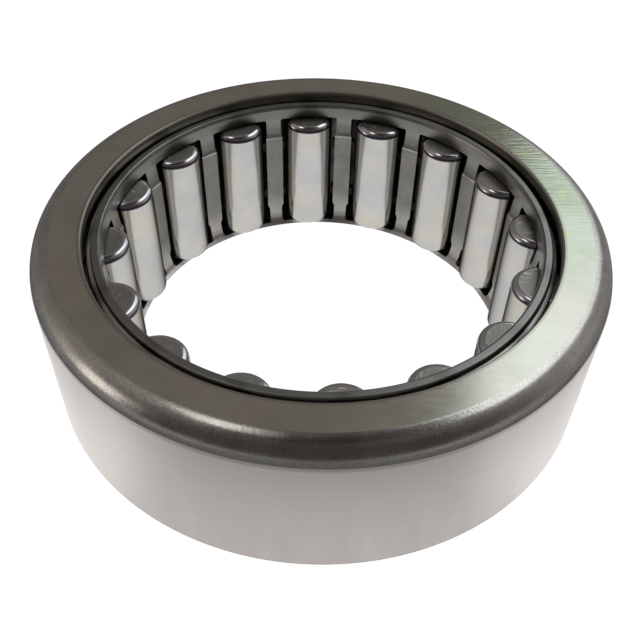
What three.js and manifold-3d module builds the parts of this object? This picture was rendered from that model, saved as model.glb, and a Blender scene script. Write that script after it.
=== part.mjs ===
// Cylindrical roller bearing without an inner ring: one outer ring, one pressed
// window cage and sixteen cylindrical rollers. The shaft itself is the inner
// raceway. Millimetres, +Z up along the bearing axis. The origin is on the axis,
// in the plane of the lower ring face.
import * as THREE from "three";
import { mergeVertices } from "three/addons/utils/BufferGeometryUtils.js";
import Module from "manifold-3d";

// ---- driving dimensions (mm) ------------------------------------------------
const OUTER_DIAMETER = 80;
const RING_WIDTH = 24;
const TOP_CORNER_RADIUS = 3.0; // large lead-in radius on the top outer edge
const BOTTOM_CORNER_RADIUS = 0.6;
const RIB_BORE_DIAMETER = 65.8;
const RIB_CHAMFER = 0.3;
const RACEWAY_DIAMETER = 70.1; // roller outer envelope 70.0 plus running clearance
const RACEWAY_FLOOR_Z = 0.65; // top of the lower rib
const RACEWAY_ROOF_Z = 20.85; // underside of the upper rib
const RELIEF_DEPTH = 0.25; // grinding relief in both raceway corners
const RELIEF_WIDTH = 0.7;

const ROLLER_COUNT = 16;
const ROLLER_DIAMETER = 8.0;
const ROLLER_LENGTH = 20.0;
const ROLLER_CORNER = 0.7;
const ROLLER_FLOOR_Z = 0.75;
const PITCH_DIAMETER = 62.0;
const FIRST_ROLLER_DEG = -84.7; // azimuth of roller_01; the rest run clockwise

const WINDOW_FLOOR_Z = 0.62;
const WINDOW_ROOF_Z = 21.0;
const BAR_WIDTH_MIDDLE = 2.8;
const BAR_WIDTH_UPPER = 2.45;
const BAR_WIDTH_LOWER = 2.15;
const NIB_WIDTH = 3.94; // across the two nibs of a bar: narrows each window to 7.92, which keeps its roller in
const NIB_RADIUS = 30.2;
const NIB_HEIGHTS = [
  [5.4, 7.2],
  [15.0, 16.8],
];
const BAR_MIDDLE_FLOOR_Z = 3.5;
const BAR_MIDDLE_ROOF_Z = 18.05;
const BAR_STEP = 0.7; // height over which the bar changes width

const RING_SEGMENTS = 72;
const CAGE_SEGMENTS = 64;
const ROLLER_SEGMENTS = 24;

// ---- boolean helper ---------------------------------------------------------
const wasm = await Module();
wasm.setup();

function toSolid(geometry) {
  const g = geometry.clone();
  g.deleteAttribute("normal");
  g.deleteAttribute("uv");
  const merged = mergeVertices(g, 1e-4);
  return new wasm.Manifold(
    new wasm.Mesh({
      numProp: 3,
      vertProperties: new Float32Array(merged.attributes.position.array),
      triVerts: new Uint32Array(merged.index.array),
    }),
  );
}

function toGeometry(solid) {
  const mesh = solid.getMesh();
  const g = new THREE.BufferGeometry();
  g.setAttribute("position", new THREE.BufferAttribute(new Float32Array(mesh.vertProperties), 3));
  g.setIndex(new THREE.BufferAttribute(new Uint32Array(mesh.triVerts), 1));
  g.computeVertexNormals();
  return g;
}

// A closed profile of [radius, z] pairs, turned about +Z.
function turned(profile, segments) {
  const points = profile.map(([r, z]) => new THREE.Vector2(r, z));
  const g = new THREE.LatheGeometry(points, segments);
  g.rotateX(Math.PI / 2); // lathe axis +Y becomes +Z
  return g;
}

function arc(cr, cz, radius, fromDeg, toDeg, steps) {
  const out = [];
  for (let i = 0; i <= steps; i++) {
    const a = THREE.MathUtils.degToRad(fromDeg + ((toDeg - fromDeg) * i) / steps);
    out.push([cr + radius * Math.cos(a), cz + radius * Math.sin(a)]);
  }
  return out;
}

// ---- outer ring -------------------------------------------------------------
// Inside walls are drawn as a polygon round the true circle, so the flats of the
// raceway touch the true diameter and the rollers never meet them.
function outerRingGeometry() {
  const R = OUTER_DIAMETER / 2;
  const grow = 1 / Math.cos(Math.PI / RING_SEGMENTS);
  const bore = (RIB_BORE_DIAMETER / 2) * grow;
  const race = (RACEWAY_DIAMETER / 2) * grow;
  const H = RING_WIDTH;
  const c = RIB_CHAMFER;
  const t = TOP_CORNER_RADIUS;
  const b = BOTTOM_CORNER_RADIUS;
  const relief = race + RELIEF_DEPTH;
  const profile = [
    [bore + c, 0],
    ...arc(R - b, b, b, -90, 0, 2),
    ...arc(R - t, H - t, t, 0, 90, 6),
    [bore + c, H],
    [bore, H - c],
    [bore, RACEWAY_ROOF_Z + 0.2],
    [bore + 0.2, RACEWAY_ROOF_Z],
    [relief, RACEWAY_ROOF_Z],
    [relief, RACEWAY_ROOF_Z - RELIEF_WIDTH],
    [race, RACEWAY_ROOF_Z - RELIEF_WIDTH - RELIEF_DEPTH],
    [race, RACEWAY_FLOOR_Z + RELIEF_WIDTH + RELIEF_DEPTH],
    [relief, RACEWAY_FLOOR_Z + RELIEF_WIDTH],
    [relief, RACEWAY_FLOOR_Z],
    [bore + 0.2, RACEWAY_FLOOR_Z],
    [bore, RACEWAY_FLOOR_Z - 0.2],
    [bore, c],
  ];
  profile.push(profile[0]);
  return turned(profile, RING_SEGMENTS);
}

// ---- cage -------------------------------------------------------------------
// Drawn steel shell: an upper rim that leans out a little, with a shoulder that
// runs close to the rib bore and centres the cage, straight bars, and a lower
// rim that is turned in. Then sixteen windows are cut, with small nibs
// left on the bar flanks.
const CAGE_PROFILE = [
  [28.2, 0.12],
  [29.9, 0.12],
  [30.6, 0.95],
  [31.1, 2.3],
  [31.2, 3.2],
  [31.2, 17.55],
  [31.38, 18.35],
  [31.6, 20.9],
  [31.85, 21.15],
  [32.45, 21.3],
  [32.55, 21.5],
  [32.55, 21.85],
  [32.4, 22.1],
  [31.88, 22.3],
  [31.8, 22.8],
  [31.6, 23.05],
  [30.85, 23.12],
  [30.6, 22.95],
  [30.45, 22.4],
  [30.28, 21.2],
  [29.98, 18.35],
  [29.8, 17.55],
  [29.8, 3.2],
  [29.68, 2.1],
  [29.25, 0.85],
];

// The opening between two bars in plan, as a Shape in the XY plane that is
// centred on the +X axis. The bar flanks are parallel to the bars' own centre
// planes. With a nib width, the bars widen outside the nib radius.
function windowOutline(barWidth, nibWidth) {
  const half = Math.PI / ROLLER_COUNT;
  const inner = 26;
  const outer = 34;
  const flank = (along, offset) =>
    // a point at distance "along" on the bar's centre plane, offset towards the window
    new THREE.Vector2(
      along * Math.cos(half) + offset * Math.sin(half),
      -along * Math.sin(half) + offset * Math.cos(half),
    );
  const w = barWidth / 2;
  const n = nibWidth / 2;
  const right = nibWidth > 0
    ? [flank(inner, w), flank(NIB_RADIUS, w), flank(NIB_RADIUS, n), flank(outer, n)]
    : [flank(inner, w), flank(outer, w)];
  const left = right.map((p) => new THREE.Vector2(p.x, -p.y)).reverse();
  return new THREE.Shape([...right, ...left]);
}

function windowCutter(barWidth, nibWidth, fromZ, toZ) {
  const g = new THREE.ExtrudeGeometry(windowOutline(barWidth, nibWidth), {
    depth: toZ - fromZ,
    bevelEnabled: false,
  });
  g.translate(0, 0, fromZ);
  return toSolid(g);
}

function cageGeometry() {
  const grow = 1 / Math.cos(Math.PI / CAGE_SEGMENTS);
  const outerWall = 30.3; // radius that separates inside wall points from outside ones
  const profile = CAGE_PROFILE.map(([r, z]) => [r > outerWall ? r : r * grow, z]);
  profile.push(profile[0]);
  let shell = toSolid(turned(profile, CAGE_SEGMENTS));
  const stepWidthUp = (BAR_WIDTH_MIDDLE + BAR_WIDTH_UPPER) / 2;
  const stepWidthDown = (BAR_WIDTH_MIDDLE + BAR_WIDTH_LOWER) / 2;
  const pieces = [
    [BAR_WIDTH_MIDDLE, NIB_WIDTH, BAR_MIDDLE_FLOOR_Z - 0.5, BAR_MIDDLE_ROOF_Z + 0.5],
    [BAR_WIDTH_MIDDLE, 0, WINDOW_FLOOR_Z + 0.2, NIB_HEIGHTS[0][0]],
    [BAR_WIDTH_MIDDLE, 0, NIB_HEIGHTS[0][1], NIB_HEIGHTS[1][0]],
    [BAR_WIDTH_MIDDLE, 0, NIB_HEIGHTS[1][1], WINDOW_ROOF_Z - 0.2],
    [stepWidthUp, 0, BAR_MIDDLE_ROOF_Z - BAR_STEP / 2, WINDOW_ROOF_Z - 0.1],
    [BAR_WIDTH_UPPER, 0, BAR_MIDDLE_ROOF_Z + BAR_STEP / 2, WINDOW_ROOF_Z],
    [stepWidthDown, 0, WINDOW_FLOOR_Z + 0.1, BAR_MIDDLE_FLOOR_Z + BAR_STEP / 2],
    [BAR_WIDTH_LOWER, 0, WINDOW_FLOOR_Z, BAR_MIDDLE_FLOOR_Z - BAR_STEP / 2],
  ];
  let cutter = null;
  for (const p of pieces) {
    const c = windowCutter(...p);
    cutter = cutter ? cutter.add(c) : c;
  }
  for (let k = 0; k < ROLLER_COUNT; k++) {
    shell = shell.subtract(cutter.rotate([0, 0, (360 / ROLLER_COUNT) * k]));
  }
  return toGeometry(shell);
}

// ---- roller -----------------------------------------------------------------
function rollerGeometry() {
  const r = ROLLER_DIAMETER / 2;
  const L = ROLLER_LENGTH;
  const c = ROLLER_CORNER;
  const profile = [
    [0, 0],
    ...arc(r - c, c, c, -90, 0, 1),
    ...arc(r - c, L - c, c, 0, 90, 1),
    [0, L],
  ];
  return turned(profile, ROLLER_SEGMENTS);
}

// ---- materials --------------------------------------------------------------
const ringSteel = new THREE.MeshStandardMaterial({ color: 0xa9a49f, roughness: 0.34, metalness: 1.0 });
const cageSteel = new THREE.MeshStandardMaterial({ color: 0x7d7b76, roughness: 0.48, metalness: 1.0 });
const rollerSteel = new THREE.MeshStandardMaterial({ color: 0xc4c2bf, roughness: 0.16, metalness: 1.0 });

// ---- assembly ---------------------------------------------------------------
const bearing = new THREE.Group();

const outerRing = new THREE.Mesh(outerRingGeometry(), ringSteel);
outerRing.name = "outer_ring";
bearing.add(outerRing);

// The cage and its rollers are one carrier that turns inside the ring.
const carrier = new THREE.Group();
carrier.rotation.z = THREE.MathUtils.degToRad(FIRST_ROLLER_DEG);
bearing.add(carrier);

const cage = new THREE.Mesh(cageGeometry(), cageSteel);
cage.name = "cage";
carrier.add(cage);

const roller = rollerGeometry();
for (let k = 0; k < ROLLER_COUNT; k++) {
  const station = new THREE.Group();
  station.rotation.z = -(2 * Math.PI * k) / ROLLER_COUNT;
  const mesh = new THREE.Mesh(roller, rollerSteel);
  mesh.name = `roller_${String(k + 1).padStart(2, "0")}`;
  mesh.position.set(PITCH_DIAMETER / 2, 0, ROLLER_FLOOR_Z);
  station.add(mesh);
  carrier.add(station);
}

export default bearing;
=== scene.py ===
"""Looks for a cylindrical roller bearing: outer ring, pressed window cage and sixteen rollers."""
import math

import bmesh
import bpy
import numpy as np
from mathutils import Matrix, Vector


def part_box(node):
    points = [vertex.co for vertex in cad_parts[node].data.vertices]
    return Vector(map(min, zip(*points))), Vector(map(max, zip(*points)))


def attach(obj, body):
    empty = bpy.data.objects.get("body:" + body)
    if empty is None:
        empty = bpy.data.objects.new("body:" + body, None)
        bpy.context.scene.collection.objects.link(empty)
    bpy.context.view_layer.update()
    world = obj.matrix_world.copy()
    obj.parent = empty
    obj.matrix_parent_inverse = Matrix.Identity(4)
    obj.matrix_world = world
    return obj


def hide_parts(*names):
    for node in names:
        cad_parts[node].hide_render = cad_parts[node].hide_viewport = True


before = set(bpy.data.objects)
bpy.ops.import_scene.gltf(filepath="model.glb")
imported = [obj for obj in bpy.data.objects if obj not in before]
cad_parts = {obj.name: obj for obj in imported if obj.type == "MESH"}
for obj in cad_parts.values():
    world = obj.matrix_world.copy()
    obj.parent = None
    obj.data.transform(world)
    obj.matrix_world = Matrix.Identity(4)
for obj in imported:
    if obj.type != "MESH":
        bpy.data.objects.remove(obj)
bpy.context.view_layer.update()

MM = 0.001
scene = bpy.context.scene
collection = scene.collection


# ---------------------------------------------------------------------------
# Sizes, read from the frame where the frame holds them
# ---------------------------------------------------------------------------
def size_of(node):
    lo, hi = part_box(node)
    return [v / MM for v in lo], [v / MM for v in hi]


ring_lo, ring_hi = size_of("outer_ring")
RING_R = ring_hi[0]
RING_H = ring_hi[2]
cage_lo, cage_hi = size_of("cage")
ROLLERS = sorted(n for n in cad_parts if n.startswith("roller_"))
N = len(ROLLERS)

roller_axis = {}
for name in ROLLERS:
    lo, hi = size_of(name)
    roller_axis[name] = ((lo[0] + hi[0]) / 2, (lo[1] + hi[1]) / 2, lo[2], hi[2])
first = roller_axis["roller_01"]
PITCH_R = 31.0
FIRST_ANGLE = math.atan2(first[1], first[0])
ROLLER_R = 4.0
ROLLER_Z0 = first[2]
ROLLER_L = first[3] - first[2]


# ---------------------------------------------------------------------------
# Profiles: corners with a fillet radius each, and a finish for each edge
# ---------------------------------------------------------------------------
def filleted(corners, closed=True, support=0.06):
    """corners: [r, z, fillet, segments, finish of the edge that leaves it, finish of the fillet].
    Returns the points and, for each step to the next point, a finish."""
    n = len(corners)
    pts, tags = [], []

    def put(p, tag):
        pts.append((float(p[0]), float(p[1])))
        tags.append(tag)

    for i, (r, z, rad, seg, edge_tag, fillet_tag) in enumerate(corners):
        p = np.array([r, z], float)
        here = corners[(i - 1) % n]
        after = corners[(i + 1) % n]
        a = np.array(here[:2], float) - p
        b = np.array(after[:2], float) - p
        la, lb = np.linalg.norm(a), np.linalg.norm(b)
        ends = (not closed) and i in (0, n - 1)
        if rad > 0 and not ends and la > 0 and lb > 0:
            a /= la
            b /= lb
            cosang = float(np.clip(a @ b, -1, 1))
            ang = math.acos(cosang)
            t = rad / math.tan(ang / 2)
            t = min(t, 0.48 * la, 0.48 * lb)
            rr = t * math.tan(ang / 2)
            bis = a + b
            bis /= np.linalg.norm(bis)
            c = p + bis * (rr / math.sin(ang / 2))
            s, e = p + a * t, p + b * t
            if la - t > 3 * support:
                put(s + a * support, "prev")
            a0 = math.atan2(s[1] - c[1], s[0] - c[0])
            a1 = math.atan2(e[1] - c[1], e[0] - c[0])
            d = (a1 - a0 + math.pi) % (2 * math.pi) - math.pi
            for k in range(seg + 1):
                th = a0 + d * k / seg
                put((c[0] + rr * math.cos(th), c[1] + rr * math.sin(th)), fillet_tag if k < seg else edge_tag)
            if lb - t > 3 * support:
                put(e + b * support, edge_tag)
        else:
            if la > 3 * support and not (not closed and i == 0):
                put(p + a / la * support, "prev")
            put(p, edge_tag)
            if lb > 3 * support and not (not closed and i == n - 1):
                put(p + b / lb * support, edge_tag)
    for i, t in enumerate(tags):  # a "prev" point keeps the finish of the edge it is on
        if t == "prev":
            tags[i] = tags[i]
    # a support point before a corner still leads to the corner along the same edge
    last = None
    order = list(range(len(tags)))
    for i in order + order:
        if tags[i] == "prev":
            if last is not None:
                tags[i] = last
        else:
            last = tags[i]
    return pts, tags


def lathe(name, pts, tags, segments, slots, cap_axis=False, phase=0.0):
    """A closed body of revolution about Z from a profile that runs counter-clockwise in (r, z)."""
    verts, faces, mats = [], [], []
    n = len(pts)
    rings = []
    for r, z in pts:
        if cap_axis and r < 1e-6:
            rings.append([len(verts)])
            verts.append((0.0, 0.0, z * MM))
        else:
            row = []
            for k in range(segments):
                a = phase + 2 * math.pi * k / segments
                row.append(len(verts))
                verts.append((r * math.cos(a) * MM, r * math.sin(a) * MM, z * MM))
            rings.append(row)
    steps = n if not cap_axis else n - 1
    for i in range(steps):
        a, b = rings[i], rings[(i + 1) % n]
        m = slots.index(tags[i])
        for k in range(segments):
            k2 = (k + 1) % segments
            if len(a) == 1 and len(b) == 1:
                continue
            if len(a) == 1:
                faces.append((a[0], b[k2], b[k]))
            elif len(b) == 1:
                faces.append((a[k], a[k2], b[0]))
            else:
                faces.append((a[k], a[k2], b[k2], b[k]))
            mats.append(m)
    mesh = bpy.data.meshes.new(name)
    mesh.from_pydata(verts, [], faces)
    mesh.polygons.foreach_set("material_index", mats)
    mesh.update()
    return mesh


def finish_mesh(mesh, sharp_deg=35):
    bm = bmesh.new()
    bm.from_mesh(mesh)
    bmesh.ops.recalc_face_normals(bm, faces=bm.faces)
    bm.to_mesh(mesh)
    bm.free()
    mesh.shade_smooth()
    mesh.set_sharp_from_angle(angle=math.radians(sharp_deg))
    mesh.update()


def add_object(name, mesh, materials):
    for m in materials:
        mesh.materials.append(m)
    o = bpy.data.objects.new(name, mesh)
    collection.objects.link(o)
    return o


# ---------------------------------------------------------------------------
# Materials
# ---------------------------------------------------------------------------
class Nodes:
    """A short way to write a node tree."""

    def __init__(self, name):
        self.mat = bpy.data.materials.new(name)
        self.mat.use_nodes = True
        self.tree = self.mat.node_tree
        self.bsdf = self.tree.nodes["Principled BSDF"]

    def add(self, kind, **values):
        n = self.tree.nodes.new(kind)
        for k, v in values.items():
            setattr(n, k, v)
        return n

    def link(self, a, b):
        self.tree.links.new(a, b)

    def math(self, op, a, b=None, clamp=False):
        n = self.add("ShaderNodeMath", operation=op, use_clamp=clamp)
        for i, v in enumerate((a, b)):
            if v is None:
                continue
            if isinstance(v, (int, float)):
                n.inputs[i].default_value = v
            else:
                self.link(v, n.inputs[i])
        return n.outputs[0]

    def ramp(self, fac, stops, interpolation="LINEAR"):
        n = self.add("ShaderNodeValToRGB")
        n.color_ramp.interpolation = interpolation
        els = n.color_ramp.elements
        while len(els) > 1:
            els.remove(els[-1])
        for i, (pos, col) in enumerate(stops):
            e = els[0] if i == 0 else els.new(pos)
            e.position = pos
            e.color = (*col, 1) if len(col) == 3 else col
        self.link(fac, n.inputs["Fac"])
        return n.outputs["Color"]

    def grey(self, fac, stops, **kw):
        out = self.ramp(fac, [(p, (v, v, v)) for p, v in stops], **kw)
        return out

    def noise(self, vector, scale, detail=3.0, rough=0.55, distortion=0.0, w=None):
        n = self.add("ShaderNodeTexNoise", noise_dimensions="4D" if w is not None else "3D")
        n.inputs["Scale"].default_value = scale
        n.inputs["Detail"].default_value = detail
        n.inputs["Roughness"].default_value = rough
        n.inputs["Distortion"].default_value = distortion
        self.link(vector, n.inputs["Vector"])
        if w is not None:
            self.link(w, n.inputs["W"])
        return n.outputs["Fac"]

    def mix(self, fac, a, b, blend="MIX"):
        n = self.add("ShaderNodeMix", data_type="RGBA", blend_type=blend)
        for sock, v in ((n.inputs[0], fac), (n.inputs[6], a), (n.inputs[7], b)):
            if isinstance(v, (int, float)):
                sock.default_value = v
            elif isinstance(v, tuple):
                sock.default_value = (*v, 1)
            else:
                self.link(v, sock)
        return n.outputs[2]

    def polar(self, along=1.0, around=1.0, height=1.0):
        """Object coordinates as (cos, sin) * around with the radius and height mixed in,
        in millimetres: a large "around" with a small "along" gives radial lines, and a large
        "height" with a small "around" gives lines that run round the axis."""
        tc = self.add("ShaderNodeTexCoord")
        sep = self.add("ShaderNodeSeparateXYZ")
        self.link(tc.outputs["Object"], sep.inputs[0])
        flat = self.add("ShaderNodeCombineXYZ")
        self.link(sep.outputs[0], flat.inputs[0])
        self.link(sep.outputs[1], flat.inputs[1])
        unit = self.add("ShaderNodeVectorMath", operation="NORMALIZE")
        self.link(flat.outputs[0], unit.inputs[0])
        length = self.add("ShaderNodeVectorMath", operation="LENGTH")
        self.link(flat.outputs[0], length.inputs[0])
        s2 = self.add("ShaderNodeSeparateXYZ")
        self.link(unit.outputs[0], s2.inputs[0])
        x = self.math("MULTIPLY", s2.outputs[0], around)
        y = self.math("MULTIPLY", s2.outputs[1], around)
        r = self.math("MULTIPLY", length.outputs["Value"], 1000.0 * along)
        z = self.math("MULTIPLY", sep.outputs[2], 1000.0 * height)
        rz = self.math("ADD", r, z)
        out = self.add("ShaderNodeCombineXYZ")
        self.link(x, out.inputs[0])
        self.link(y, out.inputs[1])
        self.link(rz, out.inputs[2])
        return out.outputs[0]

    def object_mm(self):
        tc = self.add("ShaderNodeTexCoord")
        m = self.add("ShaderNodeVectorMath", operation="SCALE")
        self.link(tc.outputs["Object"], m.inputs[0])
        m.inputs["Scale"].default_value = 1000.0
        return m.outputs[0]

    def bump(self, height, distance_mm, strength=1.0, normal=None):
        n = self.add("ShaderNodeBump")
        n.inputs["Strength"].default_value = strength
        n.inputs["Distance"].default_value = distance_mm * MM
        self.link(height, n.inputs["Height"])
        if normal is not None:
            self.link(normal, n.inputs["Normal"])
        return n.outputs["Normal"]

    def tangent(self):
        t = self.add("ShaderNodeTangent", direction_type="RADIAL", axis="Z")
        self.link(t.outputs[0], self.bsdf.inputs["Tangent"])


def steel(name, roughness, anisotropic=0.0, rotation=0.0):
    n = Nodes(name)
    n.bsdf.inputs["Metallic"].default_value = 1.0
    n.bsdf.inputs["Roughness"].default_value = roughness
    n.bsdf.inputs["Anisotropic"].default_value = anisotropic
    n.bsdf.inputs["Anisotropic Rotation"].default_value = rotation
    if anisotropic:
        n.tangent()
    return n


def ground_face():
    """Disc-ground flat face: shallow wavy marks across its width, clouds of tint, a greener tint over one
    side and a few yellowish stains on that side."""
    n = steel("ring_ground_face", 0.17, anisotropic=0.25)
    p = n.object_mm()
    pass_dir = n.add("ShaderNodeMapping")
    pass_dir.inputs["Scale"].default_value = (0.22, 2.3, 1.0)
    pass_dir.inputs["Rotation"].default_value = (0, 0, 0.05)
    n.link(p, pass_dir.inputs["Vector"])
    wavy = n.noise(pass_dir.outputs[0], 1.0, detail=2.0, rough=0.55, distortion=0.45)
    fine = n.noise(pass_dir.outputs[0], 2.4, detail=2.0, rough=0.6, distortion=0.5)
    cloud = n.noise(p, 0.13, detail=4.0, rough=0.6)
    hue = n.noise(p, 0.07, detail=2.0)
    tone = n.ramp(hue, [(0.30, (0.560, 0.520, 0.490)), (0.46, (0.560, 0.540, 0.480)), (0.60, (0.530, 0.535, 0.455)),
                        (0.75, (0.545, 0.550, 0.500))])
    col = n.mix(1.0, tone, n.grey(cloud, [(0.28, 0.88), (0.50, 1.0), (0.72, 1.05)]), "MULTIPLY")
    # a greener tint over the part of the face around 24 degrees from +X towards +Y, and yellowish stains only there
    unit = n.add("ShaderNodeVectorMath", operation="NORMALIZE")
    n.link(p, unit.inputs[0])
    dot = n.add("ShaderNodeVectorMath", operation="DOT_PRODUCT")
    n.link(unit.outputs[0], dot.inputs[0])
    dot.inputs[1].default_value = (math.cos(0.42), math.sin(0.42), 0.0)
    one_side = n.grey(dot.outputs["Value"], [(0.50, 0.0), (0.72, 0.8), (0.84, 1.0)])
    side_tint = n.ramp(n.noise(p, 0.16, detail=3.0, rough=0.6), [(0.30, (0.380, 0.440, 0.330)), (0.50, (0.455, 0.510, 0.395)), (0.70, (0.500, 0.545, 0.470))])
    col = n.mix(one_side, col, side_tint)
    stain = n.noise(p, 0.21, detail=2.0, distortion=0.4)
    mask = n.math("MULTIPLY", n.grey(stain, [(0.575, 0.0), (0.68, 0.5)]), one_side)
    col = n.mix(mask, col, (0.54, 0.55, 0.27))
    speck = n.noise(p, 1.9, detail=2.0, rough=0.6)
    col = n.mix(1.0, col, n.grey(speck, [(0.0, 0.55), (0.225, 0.7), (0.26, 1.0)]), "MULTIPLY")
    # painted shade: the face darkens over its last 0.4 mm towards the bore edge
    flat = n.add("ShaderNodeVectorMath", operation="MULTIPLY")
    n.link(p, flat.inputs[0])
    flat.inputs[1].default_value = (1.0, 1.0, 0.0)
    radius = n.add("ShaderNodeVectorMath", operation="LENGTH")
    n.link(flat.outputs[0], radius.inputs[0])
    bore_edge_shade = n.add("ShaderNodeMapRange", interpolation_type="SMOOTHSTEP")
    n.link(radius.outputs["Value"], bore_edge_shade.inputs["Value"])
    bore_edge_shade.inputs["From Min"].default_value = 33.22
    bore_edge_shade.inputs["From Max"].default_value = 33.62
    bore_edge_shade.inputs["To Min"].default_value = 0.42
    bore_edge_shade.inputs["To Max"].default_value = 0.0
    col = n.mix(bore_edge_shade.outputs["Result"], col, (0.16, 0.155, 0.145))
    n.link(col, n.bsdf.inputs["Base Color"])
    rough = n.math("MULTIPLY_ADD", wavy, 0.10)
    rough.node.inputs[2].default_value = 0.10
    n.link(rough, n.bsdf.inputs["Roughness"])
    where = n.grey(dot.outputs["Value"], [(0.48, 0.03), (0.70, 0.35), (0.84, 1.0)])
    b = n.bump(n.math("MULTIPLY", wavy, where), 0.060, 0.8)
    b = n.bump(n.math("MULTIPLY", fine, where), 0.010, 0.5, b)
    b = n.bump(cloud, 0.030, 0.35, b)
    n.link(b, n.bsdf.inputs["Normal"])
    return n.mat


def satin_corner():
    """Turned corner: fine lines round the ring, soft clouds and a few pits."""
    n = steel("ring_satin_corner", 0.2, anisotropic=0.2, rotation=0.25)
    n.bsdf.inputs["Specular Tint"].default_value = (0.60, 0.60, 0.62, 1)
    p = n.object_mm()
    around = n.polar(along=3.2, around=7.0, height=3.2)
    fine = n.noise(around, 1.4, detail=4.0, rough=0.7)
    cloud = n.noise(n.polar(along=0.5, around=9.0, height=0.5), 0.9, detail=4.0, rough=0.6)
    tone = n.ramp(cloud, [(0.30, (0.480, 0.462, 0.435)), (0.48, (0.535, 0.515, 0.488)), (0.70, (0.575, 0.565, 0.540))])
    col = n.mix(1.0, tone, n.grey(fine, [(0.28, 0.88), (0.6, 1.0)]), "MULTIPLY")
    pit = n.noise(p, 1.25, detail=2.0, rough=0.6)
    pits = n.grey(pit, [(0.0, 0.35), (0.205, 0.5), (0.235, 1.0)])
    col = n.mix(1.0, col, pits, "MULTIPLY")
    grain = n.noise(p, 3.2, detail=3.0, rough=0.7)
    col = n.mix(1.0, col, n.grey(grain, [(0.30, 0.84), (0.5, 1.0), (0.66, 1.12)]), "MULTIPLY")
    sep = n.add("ShaderNodeSeparateXYZ")
    n.link(p, sep.inputs[0])
    # painted shade along the lower edge of the corner where it meets the outside, made ragged by the grain
    brim = n.math("ADD", sep.outputs[2], n.math("MULTIPLY", grain, 0.35))
    junction_shade = n.add("ShaderNodeMapRange", interpolation_type="SMOOTHSTEP")
    n.link(brim, junction_shade.inputs["Value"])
    junction_shade.inputs["From Min"].default_value = 21.30
    junction_shade.inputs["From Max"].default_value = 22.20
    junction_shade.inputs["To Min"].default_value = 0.6
    junction_shade.inputs["To Max"].default_value = 0.0
    col = n.mix(junction_shade.outputs["Result"], col, (0.30, 0.28, 0.265))
    n.link(col, n.bsdf.inputs["Base Color"])
    rough = n.math("MULTIPLY_ADD", cloud, 0.16)
    rough.node.inputs[2].default_value = 0.135
    n.link(rough, n.bsdf.inputs["Roughness"])
    b = n.bump(fine, 0.004, 0.6)
    b = n.bump(grain, 0.012, 0.8, b)
    b = n.bump(pits, 0.02, 0.7, b)
    n.link(b, n.bsdf.inputs["Normal"])
    return n.mat


def ground_outside():
    """Centreless-ground cylinder: fine lines that run round it, light blotches and a few nicks."""
    n = steel("ring_ground_outside", 0.34, anisotropic=0.6, rotation=0.25)
    around = n.polar(along=0.0, around=6.0, height=9.0)
    fine = n.noise(around, 1.0, detail=5.0, rough=0.7)
    blotch = n.noise(n.polar(along=0.0, around=20.0, height=0.10), 0.9, detail=4.0, rough=0.6)
    speck = n.noise(n.object_mm(), 1.5, detail=3.0, rough=0.7)
    bands = n.noise(n.polar(along=0.0, around=4.5, height=0.02), 1.0, detail=3.0, rough=0.6)
    tone = n.ramp(blotch, [(0.30, (0.525, 0.492, 0.472)), (0.70, (0.590, 0.558, 0.545))])
    tone = n.mix(1.0, tone, n.ramp(bands, [(0.34, (0.975, 0.955, 0.948)), (0.50, (1.0, 0.990, 0.986)), (0.66, (1.025, 1.025, 1.030))]), "MULTIPLY")
    col = n.mix(1.0, tone, n.grey(fine, [(0.28, 0.92), (0.6, 1.0)]), "MULTIPLY")
    nick = n.grey(speck, [(0.0, 0.70), (0.22, 0.80), (0.27, 1.0)])
    col = n.mix(0.5, col, n.mix(1.0, col, nick, "MULTIPLY"))
    sep = n.add("ShaderNodeSeparateXYZ")
    n.link(n.object_mm(), sep.inputs[0])
    shade = n.add("ShaderNodeMapRange", interpolation_type="SMOOTHSTEP")
    n.link(sep.outputs[2], shade.inputs["Value"])
    shade.inputs["From Min"].default_value = 20.25
    shade.inputs["From Max"].default_value = 20.90
    shade.inputs["To Min"].default_value = 0.0
    shade.inputs["To Max"].default_value = 0.62
    col = n.mix(shade.outputs["Result"], col, (0.26, 0.25, 0.24))
    n.link(col, n.bsdf.inputs["Base Color"])
    rough = n.math("MULTIPLY_ADD", blotch, 0.14)
    rough.node.inputs[2].default_value = 0.27
    n.link(rough, n.bsdf.inputs["Roughness"])
    b = n.bump(fine, 0.003, 0.6)
    b = n.bump(speck, 0.004, 0.25, b)
    n.link(b, n.bsdf.inputs["Normal"])
    return n.mat


def turned_bore():
    n = steel("ring_turned_bore", 0.36, anisotropic=0.4, rotation=0.25)
    around = n.polar(along=2.0, around=4.0, height=7.0)
    fine = n.noise(around, 1.0, detail=4.0)
    col = n.ramp(fine, [(0.3, (0.330, 0.305, 0.270)), (0.7, (0.450, 0.425, 0.385))])
    # painted shade: the part that lies down in the gap beside the cage is coloured near-black
    sep = n.add("ShaderNodeSeparateXYZ")
    n.link(n.object_mm(), sep.inputs[0])
    gap_shade = n.add("ShaderNodeMapRange", interpolation_type="SMOOTHSTEP")
    n.link(sep.outputs[2], gap_shade.inputs["Value"])
    gap_shade.inputs["From Min"].default_value = 22.25
    gap_shade.inputs["From Max"].default_value = 22.85
    gap_shade.inputs["To Min"].default_value = 0.92
    gap_shade.inputs["To Max"].default_value = 0.0
    col = n.mix(gap_shade.outputs["Result"], col, (0.020, 0.018, 0.018))
    n.link(col, n.bsdf.inputs["Base Color"])
    n.link(n.bump(fine, 0.004, 0.6), n.bsdf.inputs["Normal"])
    return n.mat


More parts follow.
